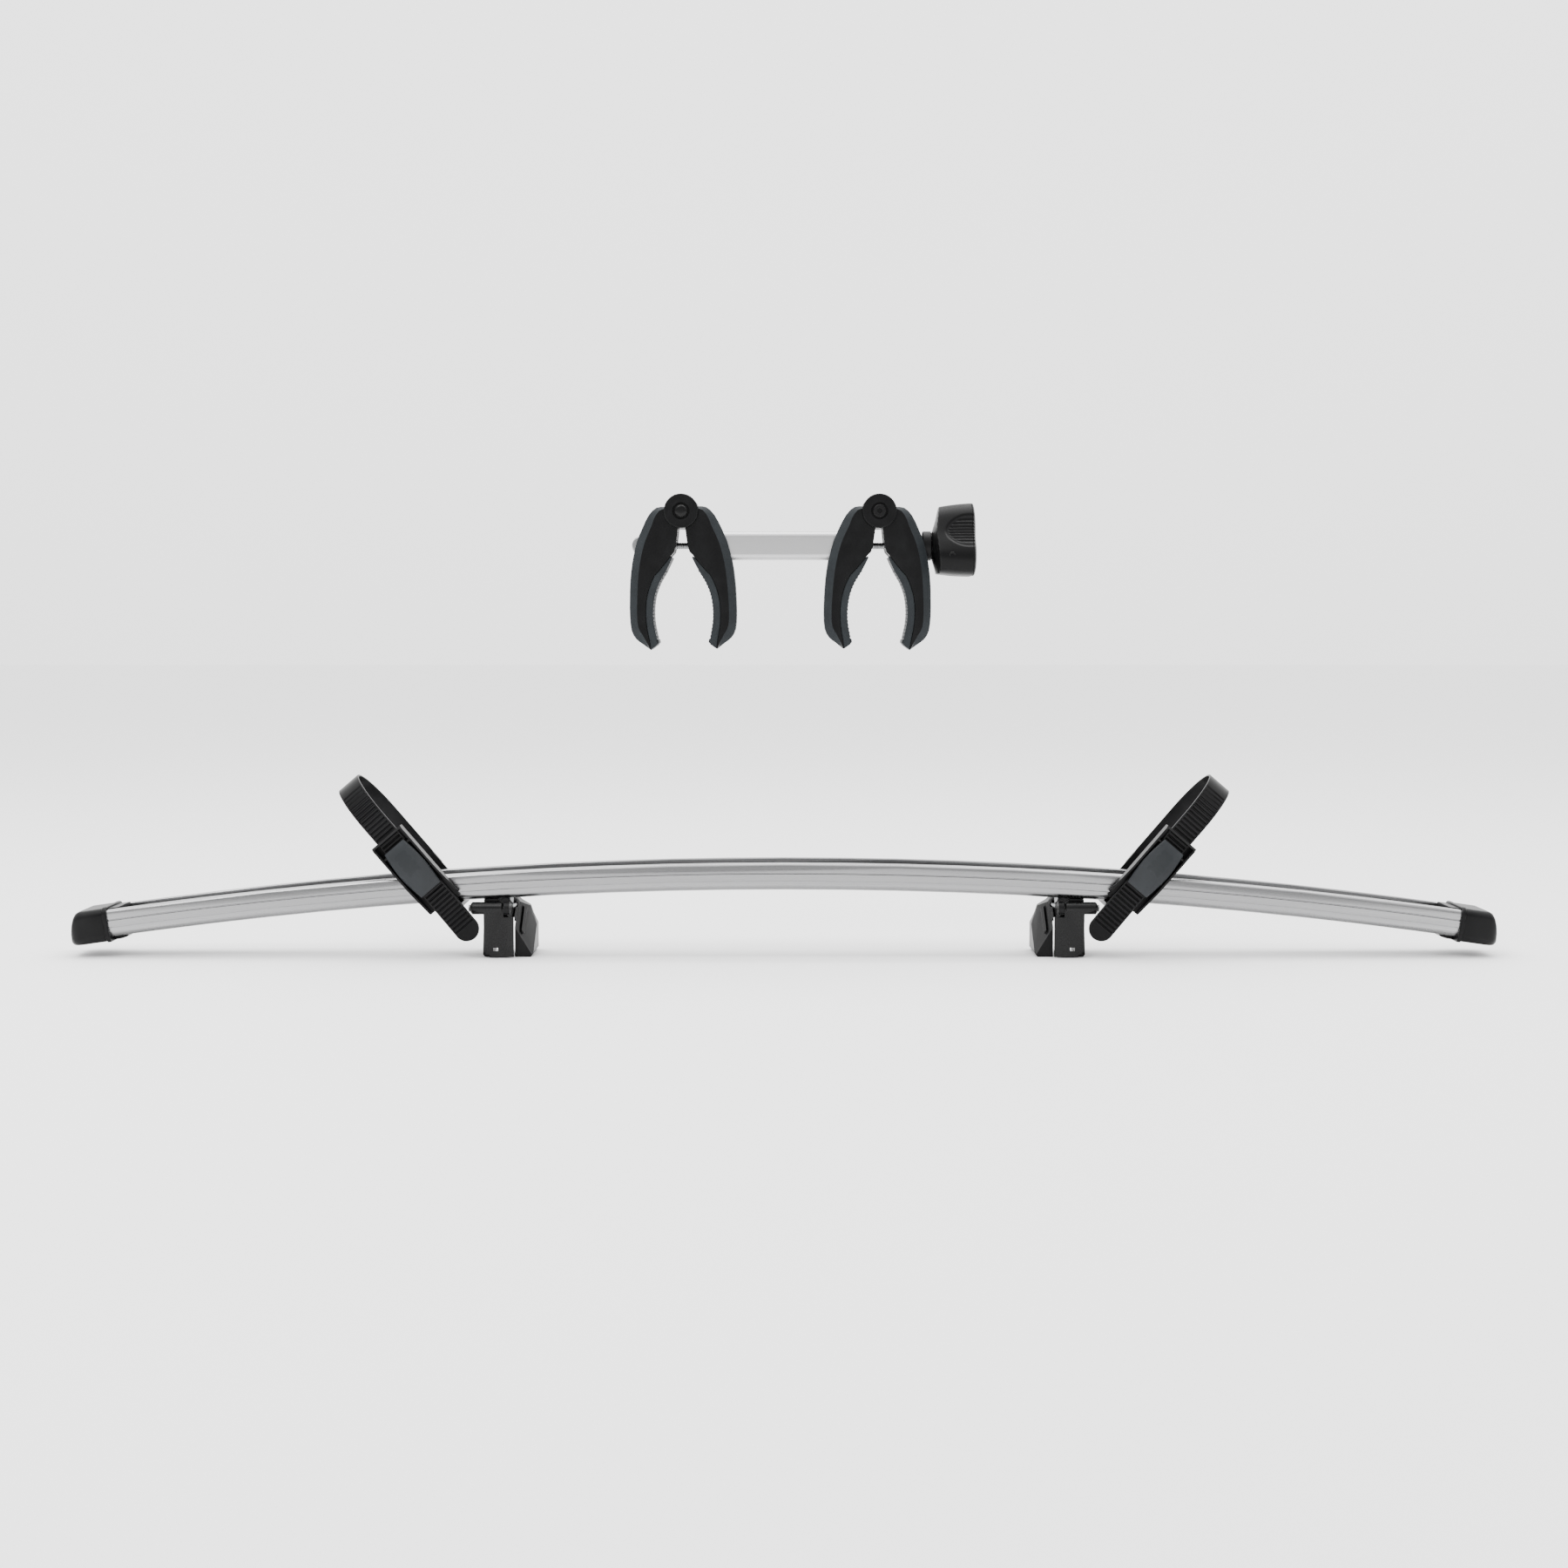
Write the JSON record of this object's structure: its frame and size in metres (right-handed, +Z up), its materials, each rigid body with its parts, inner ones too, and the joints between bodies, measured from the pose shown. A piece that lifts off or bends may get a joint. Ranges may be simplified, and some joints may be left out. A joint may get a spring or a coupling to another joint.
{
  "type": "bicycle carrier wheel rail and frame arm",
  "caption": "Arched aluminium wheel rail on clamp feet with leaning ratchet wheel straps, and a separate frame arm with claws closed by a tension rod and knob.",
  "frame": {"origin": "middle of the whole object's box, on the plane that the feet stand on", "axes": "+X along the rail towards the knob, -Y the front with the buckles, +Z up"},
  "size_m": [1.3638, 0.082, 0.4403],
  "materials": {
    "anodised_aluminium": "bright anodised extrusion",
    "tube_aluminium": "satin extrusion",
    "zinc_steel": "zinc plated",
    "black_plastic": "satin moulded, fine texture",
    "brass": "machined",
    "painted_steel": "gloss black powder coat",
    "strap_plastic": "satin flexible plastic",
    "lever_plastic": "slate grey satin",
    "jaw_plastic": "glass filled nylon, fine texture",
    "pad_rubber": "blue grey soft rubber"
  },
  "bodies": {
    "rail_unit": {"rail": "anodised_aluminium", "end_cap_left": "black_plastic", "foot_body_left": "black_plastic", "hook_pin_left": "zinc_steel", "rail_bolt_left": "zinc_steel", "rail_nut_left": "zinc_steel", "end_cap_right": "black_plastic", "foot_body_right": "black_plastic", "hook_pin_right": "zinc_steel", "rail_bolt_right": "zinc_steel", "rail_nut_right": "zinc_steel"},
    "arm": {"arm_tube": "tube_aluminium", "inner_jaw_left": "jaw_plastic", "inner_pad_left": "pad_rubber", "pivot_bolt_left": "painted_steel", "pivot_nut_left": "zinc_steel", "front_disc_left": "jaw_plastic", "back_disc_left": "jaw_plastic", "inner_jaw_right": "jaw_plastic", "inner_pad_right": "pad_rubber", "pivot_bolt_right": "painted_steel", "pivot_nut_right": "zinc_steel", "front_disc_right": "jaw_plastic", "back_disc_right": "jaw_plastic"},
    "rod": {"tension_rod": "zinc_steel", "barrel_nut": "zinc_steel"},
    "collar": {"pressure_collar": "black_plastic"},
    "knob": {"knob_body": "black_plastic", "knob_cap": "black_plastic", "knob_insert": "brass"},
    "hook_left": {"foot_hook_left": "painted_steel"},
    "slider_left": {"strap_base_left": "black_plastic", "strap_left": "strap_plastic", "anchor_pin_left": "zinc_steel", "buckle_frame_left": "black_plastic", "buckle_pin_left": "painted_steel", "pawl_pin_left": "painted_steel"},
    "lever_left": {"buckle_lever_left": "lever_plastic"},
    "pawl_left": {"buckle_pawl_left": "black_plastic"},
    "jaw_left": {"outer_jaw_left": "jaw_plastic", "outer_pad_left": "pad_rubber"},
    "hook_right": {"foot_hook_right": "painted_steel"},
    "slider_right": {"strap_base_right": "black_plastic", "strap_right": "strap_plastic", "anchor_pin_right": "zinc_steel", "buckle_frame_right": "black_plastic", "buckle_pin_right": "painted_steel", "pawl_pin_right": "painted_steel"},
    "lever_right": {"buckle_lever_right": "lever_plastic"},
    "pawl_right": {"buckle_pawl_right": "black_plastic"},
    "jaw_right": {"outer_jaw_right": "jaw_plastic", "outer_pad_right": "pad_rubber"}
  },
  "joints": [
    {"name": "arm_lift", "type": "slide", "parent": "rail_unit", "child": "arm", "axis": [0, 0, 1], "range_m": [0, 0.3]},
    {"name": "knob_turn", "type": "hinge", "parent": "collar", "child": "knob", "pos_m": [0.0901, 0.00445, 0.3916], "axis": [-1, 0, 0], "range_deg": [-2035.75, 2850.05]},
    {"name": "rod_slide", "type": "slide", "parent": "arm", "child": "rod", "axis": [1, 0, 0], "range_m": [-0.00568, 0.00794]},
    {"name": "collar_slide", "type": "slide", "parent": "arm", "child": "collar", "axis": [-1, 0, 0], "range_m": [-0.00568, 0.00794]},
    {"name": "left_jaw_swing", "type": "hinge", "parent": "arm", "child": "jaw_left", "pos_m": [-0.0971, 0.00445, 0.424], "axis": [0, -1, 0], "range_deg": [-10.05, 14.05]},
    {"name": "right_jaw_swing", "type": "hinge", "parent": "arm", "child": "jaw_right", "pos_m": [0.0901, 0.00445, 0.424], "axis": [0, 1, 0], "range_deg": [-10.05, 14.05]},
    {"name": "left_strap_slide", "type": "hinge", "parent": "rail_unit", "child": "slider_left", "pos_m": [0, 0.00445, -4.549], "axis": [0, -1, 0], "range_deg": [0, 2.4]},
    {"name": "left_lever_lift", "type": "hinge", "parent": "slider_left", "child": "lever_left", "pos_m": [-0.36553, -0.03535, 0.10453], "axis": [-0.7604, 0, -0.6494], "range_deg": [0, 95]},
    {"name": "left_pawl_lift", "type": "hinge", "parent": "slider_left", "child": "pawl_left", "pos_m": [-0.34605, -0.03395, 0.08172], "axis": [0.7604, 0, 0.6494], "range_deg": [0, 8], "stiffness_Nm_per_rad": 0.02, "springref_deg": -11.46},
    {"name": "left_hook_swing", "type": "hinge", "parent": "rail_unit", "child": "hook_left", "pos_m": [-0.283, -0.02005, 0.0472], "axis": [-1, 0, 0], "range_deg": [0, 85]},
    {"name": "right_strap_slide", "type": "hinge", "parent": "rail_unit", "child": "slider_right", "pos_m": [0, 0.00445, -4.549], "axis": [0, 1, 0], "range_deg": [0, 2.4]},
    {"name": "right_lever_lift", "type": "hinge", "parent": "slider_right", "child": "lever_right", "pos_m": [0.36553, -0.03535, 0.10453], "axis": [-0.7604, 0, 0.6494], "range_deg": [0, 95]},
    {"name": "right_pawl_lift", "type": "hinge", "parent": "slider_right", "child": "pawl_right", "pos_m": [0.34605, -0.03395, 0.08172], "axis": [0.7604, 0, -0.6494], "range_deg": [0, 8], "stiffness_Nm_per_rad": 0.02, "springref_deg": -11.46},
    {"name": "right_hook_swing", "type": "hinge", "parent": "rail_unit", "child": "hook_right", "pos_m": [0.283, -0.02005, 0.0472], "axis": [-1, 0, 0], "range_deg": [0, 85]}
  ],
  "couplings": [
    {"joint": "rod_slide", "follows": "knob_turn", "m_per_rad": 0.00015915},
    {"joint": "collar_slide", "follows": "knob_turn", "m_per_rad": 0.00015915},
    {"joint": "left_jaw_swing", "follows": "knob_turn", "ratio": 0.0049122},
    {"joint": "right_jaw_swing", "follows": "knob_turn", "ratio": 0.0049122}
  ]
}
